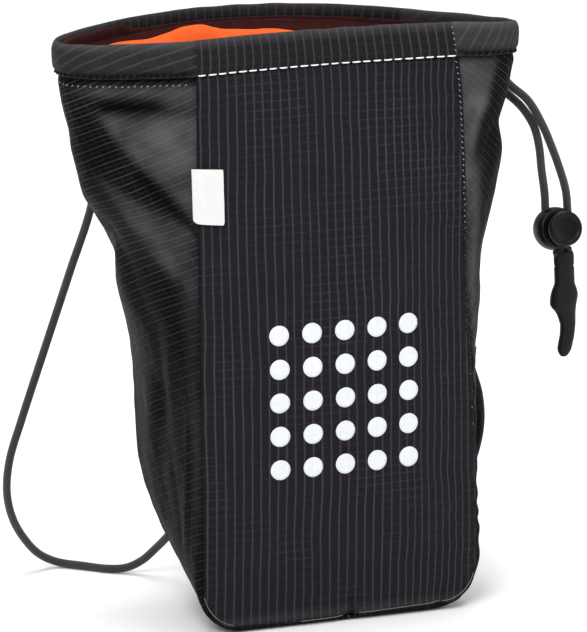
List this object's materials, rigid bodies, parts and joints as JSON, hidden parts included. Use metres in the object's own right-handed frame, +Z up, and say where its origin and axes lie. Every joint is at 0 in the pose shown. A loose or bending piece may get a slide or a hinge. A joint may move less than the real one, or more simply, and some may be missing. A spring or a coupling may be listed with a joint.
{
  "type": "climbing chalk bag",
  "caption": "Open chalk bag of dark ripstop cloth with an orange fleece lining, a drawstring hem with a cord lock, a cord loop at the back and a flat base.",
  "frame": {"origin": "centre of the bag's plan at the level of its flat base", "axes": "+Z up out of the mouth, front panel towards -Y, cord lock towards +X"},
  "size_m": [0.1658, 0.0904, 0.1804],
  "materials": {
    "ripstop": "satin",
    "gusset_ripstop": "satin",
    "fleece": "matte",
    "label_cloth": "matte",
    "webbing": "matte",
    "cord": "matte",
    "lock_plastic": "satin",
    "soft_plastic": "matte"
  },
  "bodies": {
    "bag": {"front_panel": "ripstop", "back_panel": "gusset_ripstop", "gusset": "gusset_ripstop", "hem_channel": "ripstop", "lining": "fleece", "label": "label_cloth", "side_loop": "webbing", "back_cord": "cord", "drawstring_a": "cord", "drawstring_b": "cord", "drawstring_lower_a": "cord", "drawstring_lower_b": "cord", "cord_lock_body": "lock_plastic", "pull_end": "soft_plastic"},
    "lock_button": {"cord_lock_button": "lock_plastic"}
  },
  "joints": [
    {"name": "lock_button_press", "type": "slide", "parent": "bag", "child": "lock_button", "axis": [0, 0.9724, -0.2334], "range_m": [0, 0.0026], "stiffness_N_per_m": 1000}
  ]
}
